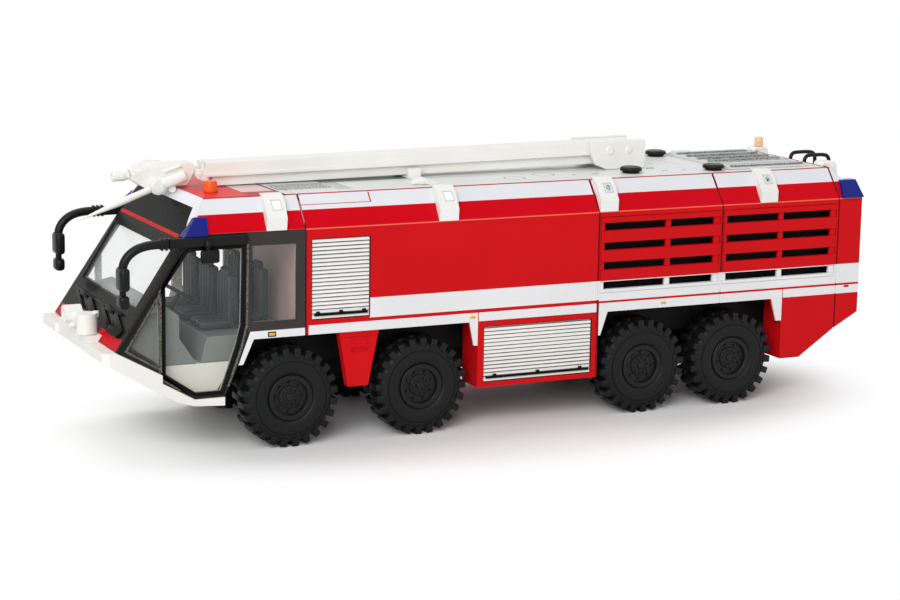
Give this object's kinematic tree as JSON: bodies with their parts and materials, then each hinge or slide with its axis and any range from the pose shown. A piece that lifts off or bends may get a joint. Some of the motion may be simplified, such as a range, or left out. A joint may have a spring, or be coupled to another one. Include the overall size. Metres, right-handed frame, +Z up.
{
  "type": "scale model airport fire truck",
  "caption": "Display model of a many-wheeled airport crash tender with glazed cab, louvred body, roof boom and bumper monitor.",
  "frame": {"origin": "on the floor, midway between the foremost and rearmost points, on the centreline", "axes": "+X forwards to the bumper, +Y to the truck's left, +Z up"},
  "size_m": [0.1404, 0.0386, 0.045],
  "materials": {
    "red": "satin",
    "white": "satin",
    "black": "matte",
    "tyre": "matte",
    "silver": "satin",
    "grey": "matte",
    "cream": "matte",
    "glass": "gloss",
    "blue": "gloss",
    "orange": "gloss",
    "red_lens": "gloss"
  },
  "bodies": {
    "truck": {"chassis": "black", "body_shell": "red", "grilles": "red", "grille_liners": "black", "lockers": "red", "step_boxes": "red", "shutters_high": "silver", "shutters_low": "silver", "shutter_handles": "black", "roof_grating": "grey", "roof_vents": "black", "rear_ladder": "black", "tail_lamps": "red_lens", "cab_front": "black", "cab_side_left": "black", "cab_side_right": "black", "cab_roof": "white", "windscreen_glass": "glass", "side_glass_left": "glass", "side_glass_right": "glass", "cab_floor": "cream", "dashboard": "grey", "seats": "grey", "steering_wheel": "black", "front_bumper": "white", "wipers": "black", "mirror_left": "black", "mirror_right": "black", "kerb_mirrors": "black", "corner_lamps_front": "blue", "corner_lamps_rear": "blue", "lamp_pods": "white", "beacons_front": "orange", "rear_pods": "white", "beacon_rear": "orange", "boom_pedestal": "white", "boom_cradle": "white"},
    "wheelset_1": {"axle_1": "black", "rims_1": "black", "tyre_1_left": "tyre", "tyre_1_right": "tyre"},
    "wheelset_2": {"axle_2": "black", "rims_2": "black", "tyre_2_left": "tyre", "tyre_2_right": "tyre"},
    "wheelset_3": {"axle_3": "black", "rims_3": "black", "tyre_3_left": "tyre", "tyre_3_right": "tyre"},
    "wheelset_4": {"axle_4": "black", "rims_4": "black", "tyre_4_left": "tyre", "tyre_4_right": "tyre"},
    "boom": {"boom_arm": "white"},
    "boom_tip": {"boom_head": "white", "head_nozzle": "white", "piercing_lance": "white"},
    "monitor": {"bumper_monitor": "white"}
  },
  "joints": [
    {"name": "wheels_1_roll", "type": "hinge", "parent": "truck", "child": "wheelset_1", "pos_m": [0.03755, 0, 0.008], "axis": [0, 1, 0], "continuous": true},
    {"name": "wheels_2_roll", "type": "hinge", "parent": "truck", "child": "wheelset_2", "pos_m": [0.01495, 0, 0.008], "axis": [0, 1, 0], "continuous": true},
    {"name": "wheels_3_roll", "type": "hinge", "parent": "truck", "child": "wheelset_3", "pos_m": [-0.02625, 0, 0.008], "axis": [0, 1, 0], "continuous": true},
    {"name": "wheels_4_roll", "type": "hinge", "parent": "truck", "child": "wheelset_4", "pos_m": [-0.04385, 0, 0.008], "axis": [0, 1, 0], "continuous": true},
    {"name": "boom_lift", "type": "hinge", "parent": "truck", "child": "boom", "pos_m": [-0.02975, 0, 0.0433], "axis": [0, -1, 0], "range_deg": [0, 60]},
    {"name": "boom_head_tilt", "type": "hinge", "parent": "boom", "child": "boom_tip", "pos_m": [0.0475, 0, 0.0421], "axis": [0, -1, 0], "range_deg": [0, 35]},
    {"name": "monitor_swivel", "type": "hinge", "parent": "truck", "child": "monitor", "pos_m": [0.0674, 0.0059, 0.0183], "axis": [0, 0, 1], "range_deg": [-30, 60]}
  ]
}
